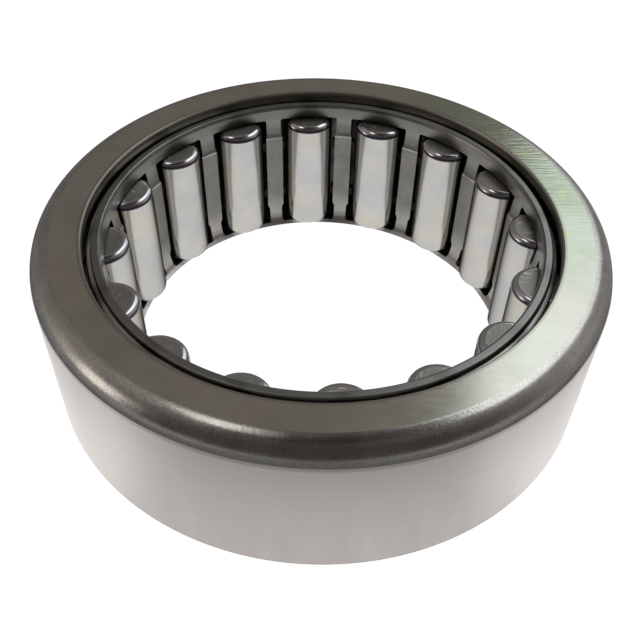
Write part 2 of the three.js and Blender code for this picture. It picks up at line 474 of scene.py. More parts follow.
def honed_raceway():
    n = steel("ring_honed_raceway_painted_shade", 0.30, anisotropic=0.3, rotation=0.25)
    around = n.polar(along=0.0, around=8.0, height=14.0)
    fine = n.noise(around, 1.0, detail=4.0)
    # painted shade: the raceway is coloured near-black, as it lies in shadow behind the rollers
    col = n.ramp(fine, [(0.3, (0.125, 0.113, 0.106)), (0.7, (0.175, 0.160, 0.150))])
    n.link(col, n.bsdf.inputs["Base Color"])
    n.link(n.bump(fine, 0.0015, 0.5), n.bsdf.inputs["Normal"])
    return n.mat


def tumbled_cage():
    """Pressed sheet that was tumbled to take its burrs off: soft sheen with small pits, and a smoother
    line along the bend of the bars with a painted highlight on it."""
    n = steel("cage_tumbled_sheet", 0.42)
    p = n.object_mm()
    cloud = n.noise(p, 0.35, detail=3.0)
    grain = n.noise(p, 4.5, detail=4.0, rough=0.7)
    pits = n.noise(p, 2.4, detail=2.0, rough=0.5)
    hue = n.noise(p, 0.10, detail=2.0)
    tone = n.ramp(hue, [(0.3, (0.228, 0.216, 0.206)), (0.5, (0.224, 0.218, 0.202)), (0.7, (0.218, 0.220, 0.206))])
    col = n.mix(1.0, tone, n.grey(cloud, [(0.3, 0.86), (0.7, 1.12)]), "MULTIPLY")
    pit = n.grey(pits, [(0.0, 0.40), (0.27, 0.55), (0.325, 1.0)])
    col = n.mix(1.0, col, pit, "MULTIPLY")
    glint = n.grey(grain, [(0.30, 0.88), (0.55, 1.0), (0.70, 1.08), (0.78, 1.45)])
    col = n.mix(1.0, col, glint, "MULTIPLY")
    sep = n.add("ShaderNodeSeparateXYZ")
    n.link(p, sep.inputs[0])
    height = n.add("ShaderNodeMapRange", interpolation_type="SMOOTHSTEP")
    d = n.math("ABSOLUTE", n.math("SUBTRACT", sep.outputs[2], 17.66))
    n.link(d, height.inputs["Value"])
    height.inputs["From Min"].default_value = 0.05
    height.inputs["From Max"].default_value = 0.22
    height.inputs["To Min"].default_value = 1.0
    height.inputs["To Max"].default_value = 0.0
    # painted highlight along the bend of the bars; the same line is also smoother
    bend_polish_and_highlight = n.math("MULTIPLY", height.outputs["Result"], n.grey(cloud, [(0.35, 0.35), (0.6, 1.0)]))
    col = n.mix(bend_polish_and_highlight, col, (0.60, 0.60, 0.58))
    # painted light: the bars grow lighter towards the bottom, below 7 mm, as if lit from the floor
    low = n.add("ShaderNodeMapRange", interpolation_type="SMOOTHSTEP")
    n.link(sep.outputs[2], low.inputs["Value"])
    low.inputs["From Min"].default_value = 0.9
    low.inputs["From Max"].default_value = 7.0
    low.inputs["To Min"].default_value = 0.55
    low.inputs["To Max"].default_value = 0.0
    col = n.mix(low.outputs["Result"], col, (0.58, 0.56, 0.55))
    # painted light: a pale band along the foot, below 1.5 mm, as if lit from the floor
    foot = n.add("ShaderNodeMapRange", interpolation_type="SMOOTHSTEP")
    n.link(sep.outputs[2], foot.inputs["Value"])
    foot.inputs["From Min"].default_value = 0.15
    foot.inputs["From Max"].default_value = 1.5
    foot.inputs["To Min"].default_value = 0.9
    foot.inputs["To Max"].default_value = 0.0
    col = n.mix(foot.outputs["Result"], col, (0.92, 0.90, 0.90))
    # painted shade on the top of the rim, above 22.9 mm
    crest = n.add("ShaderNodeMapRange", interpolation_type="SMOOTHSTEP")
    n.link(sep.outputs[2], crest.inputs["Value"])
    crest.inputs["From Min"].default_value = 22.86
    crest.inputs["From Max"].default_value = 22.98
    crest.inputs["To Min"].default_value = 0.0
    crest.inputs["To Max"].default_value = 0.8
    # painted light: the upper part of the cage, from 18 to 21.5 mm up, is lighter; it is also smoother
    upper_light_and_polish = n.add("ShaderNodeMapRange", interpolation_type="SMOOTHSTEP")
    n.link(sep.outputs[2], upper_light_and_polish.inputs["Value"])
    upper_light_and_polish.inputs["From Min"].default_value = 18.0
    upper_light_and_polish.inputs["From Max"].default_value = 21.5
    upper_light_and_polish.inputs["To Min"].default_value = 0.0
    upper_light_and_polish.inputs["To Max"].default_value = 0.45
    col = n.mix(upper_light_and_polish.outputs["Result"], col, (0.60, 0.59, 0.57))
    col = n.mix(crest.outputs["Result"], col, (0.205, 0.207, 0.194))
    # painted reflection: a dark, low arched band on the rim above each roller, where the roller's dark end shows in
    # the rim wall
    turn = n.math("SUBTRACT", n.math("ARCTAN2", sep.outputs[1], sep.outputs[0]), FIRST_ANGLE)
    wave = n.math("COSINE", n.math("MULTIPLY", turn, 16.0))
    rise = n.math("MULTIPLY", n.math("SUBTRACT", sep.outputs[2], 21.0), 0.50)
    dark_arch_reflection = n.add("ShaderNodeMapRange", interpolation_type="SMOOTHSTEP")
    n.link(n.math("SUBTRACT", wave, rise), dark_arch_reflection.inputs["Value"])
    dark_arch_reflection.inputs["From Min"].default_value = -0.55
    dark_arch_reflection.inputs["From Max"].default_value = 0.65
    dark_arch_reflection.inputs["To Min"].default_value = 0.0
    dark_arch_reflection.inputs["To Max"].default_value = 0.88
    above = n.add("ShaderNodeMapRange", interpolation_type="SMOOTHSTEP")
    n.link(sep.outputs[2], above.inputs["Value"])
    above.inputs["From Min"].default_value = 18.2
    above.inputs["From Max"].default_value = 20.8
    above.inputs["To Min"].default_value = 0.0
    above.inputs["To Max"].default_value = 1.0
    col = n.mix(n.math("MULTIPLY", dark_arch_reflection.outputs["Result"], above.outputs["Result"]), col, (0.075, 0.074, 0.068))
    n.link(col, n.bsdf.inputs["Base Color"])
    rough = n.math("MULTIPLY_ADD", grain, 0.22)
    rough.node.inputs[2].default_value = 0.30
    rough = n.math("SUBTRACT", rough, n.math("MULTIPLY", bend_polish_and_highlight, 0.18))
    rough = n.math("SUBTRACT", rough, n.math("MULTIPLY", upper_light_and_polish.outputs["Result"], 0.16))
    n.link(rough, n.bsdf.inputs["Roughness"])
    b = n.bump(grain, 0.012, 0.6)
    b = n.bump(n.grey(pits, [(0.24, 0.0), (0.36, 1.0)]), 0.02, 0.7, b)
    n.link(b, n.bsdf.inputs["Normal"])
    return n.mat


def shaded_window_wall():
    """Punched walls of the windows, scored along the punch's travel and coloured near-black: painted shade for the
    narrow gaps beside the rollers.
    """
    n = steel("cage_window_wall_painted_shade", 0.62)
    # near-black edge tint keeps the walls dark at grazing angles too, as part of the painted shade
    n.bsdf.inputs["Specular Tint"].default_value = (0.08, 0.08, 0.08, 1)
    p = n.object_mm()
    score = n.noise(n.polar(along=4.0, around=40.0, height=0.35), 1.0, detail=3.0, rough=0.6)
    col = n.ramp(score, [(0.3, (0.032, 0.028, 0.026)), (0.7, (0.050, 0.044, 0.041))])
    n.link(col, n.bsdf.inputs["Base Color"])
    n.link(n.bump(n.noise(p, 3.0, detail=2.0), 0.01, 0.5, n.bump(score, 0.01, 0.6)), n.bsdf.inputs["Normal"])
    return n.mat


def roller_barrel():
    n = steel("roller_superfinished", 0.14)
    # near-black edge tint darkens the barrel where it is seen at grazing angles: painted shade on its sides
    n.bsdf.inputs["Specular Tint"].default_value = (0.02, 0.02, 0.02, 1)
    w = n.add("ShaderNodeObjectInfo").outputs["Random"]
    w = n.math("MULTIPLY", w, 40.0)
    around = n.polar(along=0.0, around=3.0, height=6.0)
    fine = n.noise(around, 1.0, detail=4.0, w=w)
    p = n.object_mm()
    cloud = n.noise(p, 0.20, detail=3.0, w=w)
    hue = n.noise(n.polar(along=0.0, around=0.6, height=0.16), 1.0, detail=1.0, w=w)
    speck = n.noise(p, 2.2, detail=2.0, w=w)
    tone = n.ramp(hue, [(0.34, (0.530, 0.525, 0.535)), (0.50, (0.565, 0.555, 0.528)), (0.68, (0.580, 0.566, 0.505))])
    col = n.mix(1.0, tone, n.grey(cloud, [(0.3, 0.93), (0.7, 1.05)]), "MULTIPLY")
    nick = n.grey(speck, [(0.0, 0.35), (0.215, 0.5), (0.245, 1.0)])
    col = n.mix(1.0, col, nick, "MULTIPLY")
    n.link(col, n.bsdf.inputs["Base Color"])
    rough = n.math("MULTIPLY_ADD", cloud, 0.10)
    rough.node.inputs[2].default_value = 0.160
    n.link(rough, n.bsdf.inputs["Roughness"])
    n.link(n.bump(fine, 0.0008, 0.6), n.bsdf.inputs["Normal"])
    return n.mat


def roller_corner():
    n = steel("roller_tumbled_corner", 0.13)
    w = n.math("MULTIPLY", n.add("ShaderNodeObjectInfo").outputs["Random"], 40.0)
    fine = n.noise(n.object_mm(), 1.6, detail=3.0, w=w)
    col = n.ramp(fine, [(0.3, (0.54, 0.53, 0.56)), (0.7, (0.60, 0.59, 0.60))])
    n.link(col, n.bsdf.inputs["Base Color"])
    rough = n.math("MULTIPLY_ADD", fine, 0.08)
    rough.node.inputs[2].default_value = 0.09
    n.link(rough, n.bsdf.inputs["Roughness"])
    n.link(n.bump(fine, 0.003, 0.5), n.bsdf.inputs["Normal"])
    return n.mat


def roller_shade_line():
    """The lower part of the upper corner, next to the barrel, is a thin blue-black line: a painted dark reflection."""
    n = steel("roller_painted_shade_line", 0.22)
    w = n.math("MULTIPLY", n.add("ShaderNodeObjectInfo").outputs["Random"], 40.0)
    fine = n.noise(n.object_mm(), 1.2, detail=3.0, w=w)
    col = n.ramp(fine, [(0.3, (0.085, 0.080, 0.120)), (0.7, (0.150, 0.145, 0.185))])
    n.link(col, n.bsdf.inputs["Base Color"])
    n.link(n.bump(fine, 0.003, 0.5), n.bsdf.inputs["Normal"])
    return n.mat


def roller_end():
    """Double-disc-ground end: nearly smooth, soft clouds and a few short bright scratches."""
    n = steel("roller_ground_end", 0.47)
    w = n.math("MULTIPLY", n.add("ShaderNodeObjectInfo").outputs["Random"], 40.0)
    p = n.object_mm()
    mapping = n.add("ShaderNodeMapping")
    mapping.inputs["Scale"].default_value = (0.30, 2.4, 1.0)
    mapping.inputs["Rotation"].default_value = (0, 0, 0.5)
    n.link(p, mapping.inputs["Vector"])
    lines = n.noise(mapping.outputs[0], 1.7, detail=3.0, rough=0.6, distortion=0.6, w=w)
    cloud = n.noise(p, 0.42, detail=3.0, rough=0.6, w=w)
    tone = n.ramp(cloud, [(0.3, (0.275, 0.265, 0.252)), (0.5, (0.312, 0.307, 0.276)), (0.7, (0.365, 0.356, 0.344))])
    mark = n.grey(lines, [(0.58, 0.0), (0.63, 0.6), (0.70, 1.0)])
    near = n.grey(n.noise(p, 0.30, detail=1.0, w=w), [(0.47, 0.0), (0.55, 1.0)])
    mark = n.math("MULTIPLY", mark, near)
    col = n.mix(mark, tone, (0.95, 0.94, 0.90))
    n.link(col, n.bsdf.inputs["Base Color"])
    rough = n.math("MULTIPLY_ADD", cloud, 0.14)
    rough.node.inputs[2].default_value = 0.40
    n.link(rough, n.bsdf.inputs["Roughness"])
    b = n.bump(lines, 0.006, 0.35)
    b = n.bump(cloud, 0.02, 0.4, b)
    n.link(b, n.bsdf.inputs["Normal"])
    return n.mat


M_FACE = ground_face()
M_CORNER = satin_corner()
M_OUTSIDE = ground_outside()
M_BORE = turned_bore()
M_RACE = honed_raceway()
M_CAGE = tumbled_cage()
M_FLANK = shaded_window_wall()
M_BARREL = roller_barrel()
M_RCORNER = roller_corner()
M_SHADE_LINE = roller_shade_line()
M_REND = roller_end()


# ---------------------------------------------------------------------------
# Outer ring
# ---------------------------------------------------------------------------
def build_ring():
    bore, race, relief = 32.9, 35.06, 35.30
    roof, floor = 20.85, 0.65
    H, R = RING_H, RING_R
    # the large corner meets the flat face and the outside at a slight angle, as turned corners do
    arc = []
    big, a0, a1 = 3.30, 8.0, 82.0
    cr, cz = R - big * math.cos(math.radians(a0)), H - big * math.sin(math.radians(a1))
    for i in range(25):
        t = math.radians(a0 + (a1 - a0) * i / 24)
        arc.append([cr + big * math.cos(t), cz + big * math.sin(t), 0, 0, "face" if i == 24 else "corner", "corner"])
    c = [
        # r, z, fillet, segments, finish of the next edge, finish of the fillet
        [bore + 0.30, 0.0, 0.08, 2, "face", "face"],
        [R, 0.0, 0.6, 6, "outside", "corner"],
        *arc,
        [bore + 0.20, H, 0.10, 3, "bore", "bore"],
        [bore, H - 0.24, 0.12, 3, "bore", "bore"],
        [bore, roof + 0.20, 0.05, 2, "bore", "bore"],
        [bore + 0.20, roof, 0.05, 2, "bore", "bore"],
        [relief, roof, 0.10, 3, "bore", "bore"],
        [relief, roof - 0.70, 0.12, 3, "bore", "bore"],
        [race, roof - 0.95, 0.05, 2, "race", "race"],
        [race, floor + 0.95, 0.05, 2, "bore", "race"],
        [relief, floor + 0.70, 0.12, 3, "bore", "bore"],
        [relief, floor, 0.10, 3, "bore", "bore"],
        [bore + 0.20, floor, 0.05, 2, "bore", "bore"],
        [bore, floor - 0.20, 0.05, 2, "bore", "bore"],
        [bore, 0.30, 0.10, 2, "bore", "bore"],
    ]
    pts, tags = filleted(c)
    slots = ["face", "corner", "outside", "bore", "race"]
    mesh = lathe("outer_ring_fine", pts, tags, 288, slots)
    finish_mesh(mesh, 7)
    o = add_object("outer_ring_body", mesh, [M_FACE, M_CORNER, M_OUTSIDE, M_BORE, M_RACE])
    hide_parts("outer_ring")
    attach(o, "outer_ring")
    return o


# ---------------------------------------------------------------------------
# Rollers
# ---------------------------------------------------------------------------
def build_rollers():
    r, L = ROLLER_R, ROLLER_L
    # a full round corner between end face and barrel
    R = 0.92
    pts, tags = [(0.0, 0.0), (1.6, 0.0), (2.6, 0.0), (3.0, 0.0)], ["end"] * 4
    k = 14
    for i in range(k + 1):
        a = -math.pi / 2 + (math.pi / 2) * i / k
        pts.append((r - R + R * math.cos(a), R + R * math.sin(a)))
        tags.append("barrel" if i >= k - 3 else "corner")
    pts += [(r, 1.1), (r, L / 2), (r, L - 1.1)]
    tags += ["barrel"] * 3
    for i in range(k + 1):
        a = (math.pi / 2) * i / k
        pts.append((r - R + R * math.cos(a), L - R + R * math.sin(a)))
        # the four points of the upper corner next to the barrel carry the painted dark line
        tags.append("end" if i == k else "shade_line" if i < 4 else "corner")
    pts += [(3.0, L), (2.6, L), (1.6, L), (0.0, L)]
    tags += ["end"] * 4
    mesh = lathe("roller_fine", pts, tags, 80, ["barrel", "corner", "shade_line", "end"], cap_axis=True)
    finish_mesh(mesh, 50)
    for m in (M_BARREL, M_RCORNER, M_SHADE_LINE, M_REND):
        mesh.materials.append(m)
    made = []
    for i, name in enumerate(ROLLERS):
        x, y, z0, z1 = roller_axis[name]
        o = bpy.data.objects.new(name + "_body", mesh)
        collection.objects.link(o)
        o.matrix_world = Matrix.Translation((x * MM, y * MM, z0 * MM)) @ Matrix.Rotation(2.39996 * i, 4, "Z")
        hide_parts(name)
        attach(o, name)
        made.append(o)
    return made


# ---------------------------------------------------------------------------
# Cage
# ---------------------------------------------------------------------------
W_FLOOR, W_ROOF = 0.62, 21.0


def smooth_table(knots, z, width=0.35):
    """Piecewise linear table, rounded at its knots by averaging over +-width."""
    zs = np.array([k[0] for k in knots])
    vs = np.array([k[1] for k in knots])
    s = np.linspace(-width, width, 9)
    return float(np.mean(np.interp(z + s, zs, vs)))


INNER = [(0.12, 28.2), (0.85, 29.25), (2.1, 29.68), (3.2, 29.8), (17.55, 29.8), (18.35, 29.98), (21.2, 30.28), (22.4, 30.45)]
OUTER = [(0.12, 29.9), (0.95, 30.6), (2.3, 31.1), (3.2, 31.2), (17.55, 31.2), (18.35, 31.38), (20.9, 31.6), (22.2, 31.65)]
BAR = [(-1, 2.15), (3.15, 2.15), (3.85, 2.8), (17.7, 2.8), (18.4, 2.45), (23, 2.45)]
NIB = [(-1, 0.0), (5.35, 0.0), (5.6, 3.9), (7.0, 3.9), (7.25, 0.0), (14.95, 0.0), (15.2, 3.9), (16.6, 3.9), (16.85, 0.0), (23, 0.0)]
NIB_R = 30.2


def build_cage():
    pitch = 2 * math.pi / N
    # rows through the windows, top to bottom
    zs = [21.0, 20.3, 19.6, 19.0, 18.7, 18.5, 18.35, 18.2, 18.05, 17.85, 17.7, 17.55, 17.4, 17.2, 16.85, 16.6, 15.9, 15.2, 14.95, 13.5,
          11.2, 9.0, 7.25, 7.0, 6.3, 5.6, 5.35, 4.6, 4.0, 3.85, 3.7, 3.5, 3.3, 3.15, 3.0, 2.6, 2.2, 1.8, 1.35, 0.95, 0.62]
    inner = [(smooth_table(INNER, z, 0.2), z) for z in zs]
    outer = [(smooth_table(OUTER, z, 0.2), z) for z in zs]
    top_c = [
        [inner[0][0], inner[0][1], 0, 0, "cage", "cage"],
        [30.47, 22.55, 0.5, 4, "cage", "cage"],
        [30.66, 23.10, 0.30, 6, "cage", "cage"],
        [31.78, 23.05, 0.32, 7, "cage", "cage"],
        [31.88, 22.28, 0.12, 3, "cage", "cage"],
        [32.42, 22.10, 0.12, 3, "cage", "cage"],
        [32.55, 21.86, 0.12, 3, "cage", "cage"],
        [32.55, 21.48, 0.10, 3, "cage", "cage"],
        [32.42, 21.30, 0.10, 3, "cage", "cage"],
        [31.88, 21.16, 0.12, 3, "cage", "cage"],
        [outer[0][0], outer[0][1], 0, 0, "cage", "cage"],
    ]
    top, _ = filleted(top_c, closed=False, support=0.03)
    bottom_c = [
        [outer[-1][0], outer[-1][1], 0, 0, "cage", "cage"],
        [29.90, 0.13, 0.15, 4, "cage", "cage"],
        [28.22, 0.13, 0.08, 4, "cage", "cage"],
        [inner[-1][0], inner[-1][1], 0, 0, "cage", "cage"],
    ]
    bottom, _ = filleted(bottom_c, closed=False, support=0.03)
    top = top[::-1][1:-1]          # from the outer wall over the lip to the inner wall
    bottom = bottom[::-1][1:-1]    # from the inner wall under the rim to the outer wall
    rows = [("in", i, p) for i, p in enumerate(inner)]
    rows += [("bottom", None, p) for p in bottom]
    rows += [("out", i, p) for i, p in reversed(list(enumerate(outer)))]
    rows += [("top", None, p) for p in top]

    n_win, n_bar = 10, 6  # columns across a window and across a bar
    bm = bmesh.new()
    grid = []

    def bar_angle(z, rho, nib):
        w = smooth_table(BAR, z, 0.12)
        if nib:
            w = max(w, smooth_table(NIB, z, 0.04))
        return math.asin(w / 2 / rho)

    def columns(edge):
        """Angles from one window's centre over a window and a bar, given the bar's half angle."""
        a = pitch / 2 - edge
        left = [-a + 2 * a * k / n_win for k in range(n_win + 1)]
        right = [a + 2 * edge * k / n_bar for k in range(1, n_bar)]
        return left + right

    cols_per = n_win + n_bar
    for kind, idx, (r, z) in rows:
        if kind == "in":
            e = bar_angle(z, r, False)
        elif kind == "out":
            e = bar_angle(z, r, True)
        elif kind == "bottom":
            e = bar_angle(W_FLOOR, r, False)
        else:
            e = bar_angle(W_ROOF, r, False)
        local = columns(e)
        row = []
        for s in range(N):
            for a in local:
                th = FIRST_ANGLE + s * pitch + a
                row.append(bm.verts.new((r * math.cos(th) * MM, r * math.sin(th) * MM, z * MM)))
        grid.append(row)
    total = N * cols_per
    n_rows = len(rows)

    def in_window(c):
        return (c % cols_per) < n_win

    for i in range(n_rows):
        j = (i + 1) % n_rows
        both_in = rows[i][0] == "in" and rows[j][0] == "in"
        both_out = rows[i][0] == "out" and rows[j][0] == "out"
        for c in range(total):
            if (both_in or both_out) and in_window(c):
                continue
            c2 = (c + 1) % total
            f = bm.faces.new((grid[i][c], grid[i][c2], grid[j][c2], grid[j][c]))
            # painted shade: everything outside the crest below 21.8 mm is as dark as the window walls
            if rows[i][2][0] > 31.3 and rows[j][2][0] > 31.3 and min(rows[i][2][1], rows[j][2][1]) < 21.8:
                f.material_index = 1
    # walls of each window, with two rows of points between the inner edge and the outer edge
    in_rows = [i for i, r in enumerate(rows) if r[0] == "in"]
    out_rows = [i for i, r in enumerate(rows) if r[0] == "out"][::-1]  # same order, top to bottom
    for s in range(N):
        c_lo = s * cols_per
        c_hi = s * cols_per + n_win
        cols = [c_lo + k for k in range(n_win + 1)]

        def mid_point(i_in, side, step):
            # side -1 or +1; step 0 is the nib's foot and step 1 its edge
            r, z = rows[i_in][2]
            rho = max(NIB_R, r + 0.3) + (0.0 if step == 0 else 0.04)
            a = bar_angle(z, rho, step == 1)
            th = FIRST_ANGLE + s * pitch + side * (pitch / 2 - a)
            return bm.verts.new((rho * math.cos(th) * MM, rho * math.sin(th) * MM, z * MM))

        mids = {(side, st): [mid_point(i, side, st) for i in in_rows] for side in (-1, 1) for st in (0, 1)}
        for side, c in ((-1, c_lo), (1, c_hi % total)):
            lines = [[grid[i][c] for i in in_rows], mids[side, 0], mids[side, 1], [grid[i][c] for i in out_rows]]
            for u, v in zip(lines, lines[1:]):
                for k in range(len(in_rows) - 1):
                    bm.faces.new((u[k], u[k + 1], v[k + 1], v[k])).material_index = 1
        for end in (0, -1):
            line_in = [grid[in_rows[end]][c % total] for c in cols]
            line_out = [grid[out_rows[end]][c % total] for c in cols]
            lines = [line_in]
            for st in (0, 1):
                line = [mids[-1, st][end]]
                ref = math.hypot(line[0].co.x, line[0].co.y)
                for k in range(1, n_win):
                    v = line_in[k].co
                    f = ref / math.hypot(v.x, v.y)
                    line.append(bm.verts.new((v.x * f, v.y * f, v.z)))
                line.append(mids[1, st][end])
                lines.append(line)
            lines.append(line_out)
            for u, v in zip(lines, lines[1:]):
                for k in range(n_win):
                    bm.faces.new((u[k], u[k + 1], v[k + 1], v[k])).material_index = 1
    bmesh.ops.recalc_face_normals(bm, faces=bm.faces)
    bm.verts.ensure_lookup_table()
    # small radius in the four corners of every window
    picked = []
    for e in bm.edges:
        if len(e.link_faces) != 2:
            continue
        v1, v2 = e.verts
        z1, z2 = v1.co.z / MM, v2.co.z / MM
        if abs(z1 - z2) > 1e-4:
            continue
        if min(abs(z1 - W_ROOF), abs(z1 - W_FLOOR)) > 1e-3:
            continue
        r1, r2 = math.hypot(v1.co.x, v1.co.y), math.hypot(v2.co.x, v2.co.y)
        if abs(r1 - r2) / MM < 0.02:
            continue
        n1, n2 = e.link_faces[0].normal, e.link_faces[1].normal
        if abs(n1.angle(n2)) > math.radians(60):
            picked.append(e)
    bmesh.ops.bevel(bm, geom=picked, offset=0.3 * MM, offset_type="OFFSET", segments=4, profile=0.5, affect="EDGES", clamp_overlap=True)
    bmesh.ops.recalc_face_normals(bm, faces=bm.faces)
    mesh = bpy.data.meshes.new("cage_fine")
    bm.to_mesh(mesh)
    bm.free()
    mesh.shade_smooth()
    mesh.set_sharp_from_angle(angle=math.radians(38))
    o = add_object("cage_body", mesh, [M_CAGE, M_FLANK])
    bevel = o.modifiers.new("edge", "BEVEL")
    bevel.limit_method = "ANGLE"
    bevel.angle_limit = math.radians(38)
    bevel.width = 0.09 * MM
    bevel.segments = 2
    bevel.use_clamp_overlap = True
    bevel.harden_normals = False
    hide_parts("cage")
    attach(o, "cage")
    return o


ring = build_ring()
rollers = build_rollers()
cage = build_cage()


# ---------------------------------------------------------------------------
# Stage: floor, backdrop, lights, world and camera
# ---------------------------------------------------------------------------
def only_camera(o):
    o.visible_glossy = False
    o.visible_transmission = False
    o.visible_shadow = False


def outside_painted_shadow(n, distance):
    """1 where the floor is open, 0 on the strip that the cage and ring stand over: a painted shadow under the bearing.
    """
    inner = n.add("ShaderNodeMapRange", interpolation_type="SMOOTHSTEP")
    n.link(distance, inner.inputs["Value"])
    inner.inputs["From Min"].default_value = 0.0285
    inner.inputs["From Max"].default_value = 0.0300
    inner.inputs["To Min"].default_value = 1.0
    inner.inputs["To Max"].default_value = 0.0
    outer = n.add("ShaderNodeMapRange", interpolation_type="SMOOTHSTEP")
    n.link(distance, outer.inputs["Value"])
    outer.inputs["From Min"].default_value = 0.0370
    outer.inputs["From Max"].default_value = 0.0390
    outer.inputs["To Min"].default_value = 0.0
    outer.inputs["To Max"].default_value = 1.0
    return n.math("MAXIMUM", inner.outputs["Result"], outer.outputs["Result"])


def build_floor():
    """The white sweep the camera sees, and under it the table top that the steel mirrors."""
    mesh = bpy.data.meshes.new("floor")
    s = 3.0
    mesh.from_pydata([(-s, -s, 0), (s, -s, 0), (s, s, 0), (-s, s, 0)], [], [(0, 1, 2, 3)])
    o = bpy.data.objects.new("floor", mesh)
    collection.objects.link(o)
    n = Nodes("floor_pale")
    n.bsdf.inputs["Base Color"].default_value = (0.22, 0.22, 0.22, 1)
    n.bsdf.inputs["Roughness"].default_value = 1.0
    n.bsdf.inputs["Specular IOR Level"].default_value = 0.0
    n.bsdf.inputs["Emission Color"].default_value = (1.0, 1.0, 0.995, 1)
    tc = n.add("ShaderNodeTexCoord")
    length = n.add("ShaderNodeVectorMath", operation="LENGTH")
    n.link(tc.outputs["Object"], length.inputs[0])
    # the floor the camera sees goes dark under the bearing: painted shadow
    n.link(n.math("MULTIPLY", outside_painted_shadow(n, length.outputs["Value"]), 0.975), n.bsdf.inputs["Emission Strength"])
    mesh.materials.append(n.mat)
    only_camera(o)

    mesh = bpy.data.meshes.new("table_top")
    z = -0.00005
    mesh.from_pydata([(-s, -s, z), (s, -s, z), (s, s, z), (-s, s, z)], [], [(0, 1, 2, 3)])
    t = bpy.data.objects.new("table_top", mesh)
    collection.objects.link(t)
    n = Nodes("table_top_light")
    n.bsdf.inputs["Base Color"].default_value = (0.0, 0.0, 0.0, 1)
    n.bsdf.inputs["Roughness"].default_value = 1.0
    n.bsdf.inputs["Specular IOR Level"].default_value = 0.0
    tc = n.add("ShaderNodeTexCoord")
    length = n.add("ShaderNodeVectorMath", operation="LENGTH")
    n.link(tc.outputs["Object"], length.inputs[0])
    unit = n.add("ShaderNodeVectorMath", operation="NORMALIZE")
    n.link(tc.outputs["Object"], unit.inputs[0])
    sep = n.add("ShaderNodeSeparateXYZ")
    n.link(unit.outputs[0], sep.inputs[0])
    back = n.math("MULTIPLY", sep.outputs[1], -0.04)
    back = n.math("ADD", back, 0.16)
    dot = n.add("ShaderNodeVectorMath", operation="DOT_PRODUCT")
    n.link(unit.outputs[0], dot.inputs[0])
    dot.inputs[1].default_value = direction(32, 0)
    side = n.math("MAXIMUM", dot.outputs["Value"], 0.0)
    side = n.math("POWER", side, 5.0)
    fade = n.add("ShaderNodeMapRange", interpolation_type="SMOOTHSTEP")
    n.link(length.outputs["Value"], fade.inputs["Value"])
    fade.inputs["From Min"].default_value = 0.085
    fade.inputs["From Max"].default_value = 0.150
    fade.inputs["To Min"].default_value = 0.55
    fade.inputs["To Max"].default_value = 0.16
    side = n.math("MULTIPLY", side, fade.outputs["Result"])
    far = n.math("ADD", back, side)
    place = n.add("ShaderNodeSeparateXYZ")
    n.link(tc.outputs["Object"], place.inputs[0])
    wing = n.add("ShaderNodeMapRange", interpolation_type="SMOOTHSTEP")
    n.link(n.math("ABSOLUTE", place.outputs[0]), wing.inputs["Value"])
    wing.inputs["From Min"].default_value = 0.058
    wing.inputs["From Max"].default_value = 0.090
    wing.inputs["To Min"].default_value = 0.0
    wing.inputs["To Max"].default_value = 0.13
    far = n.math("ADD", far, wing.outputs["Result"])
    pad = n.add("ShaderNodeMapRange", interpolation_type="SMOOTHSTEP")
    n.link(length.outputs["Value"], pad.inputs["Value"])
    pad.inputs["From Min"].default_value = 0.052
    pad.inputs["From Max"].default_value = 0.064
    pad.inputs["To Min"].default_value = 0.0
    pad.inputs["To Max"].default_value = 1.0
    mix = n.add("ShaderNodeMix", data_type="FLOAT")
    n.link(pad.outputs["Result"], mix.inputs[0])
    flank = n.add("ShaderNodeMapRange", interpolation_type="SMOOTHSTEP")
    n.link(n.math("ABSOLUTE", sep.outputs[0]), flank.inputs["Value"])
    flank.inputs["From Min"].default_value = 0.50
    flank.inputs["From Max"].default_value = 0.80
    flank.inputs["To Min"].default_value = 0.88
    flank.inputs["To Max"].default_value = 1.30
    inside = n.add("ShaderNodeMapRange", interpolation_type="SMOOTHSTEP")
    n.link(length.outputs["Value"], inside.inputs["Value"])
    inside.inputs["From Min"].default_value = 0.030
    inside.inputs["From Max"].default_value = 0.038
    inside.inputs["To Min"].default_value = 0.94
    n.link(flank.outputs["Result"], inside.inputs["To Max"])
    n.link(inside.outputs["Result"], mix.inputs[2])
    n.link(far, mix.inputs[3])
    n.bsdf.inputs["Emission Color"].default_value = (1.0, 0.992, 0.975, 1)
    # the table top is dark under the bearing too: painted shadow in the steel's reflections
    n.link(n.math("MULTIPLY", mix.outputs[0], outside_painted_shadow(n, length.outputs["Value"])), n.bsdf.inputs["Emission Strength"])
    mesh.materials.append(n.mat)
    t.visible_camera = False
    t.visible_diffuse = False
    t.visible_shadow = False
    return o


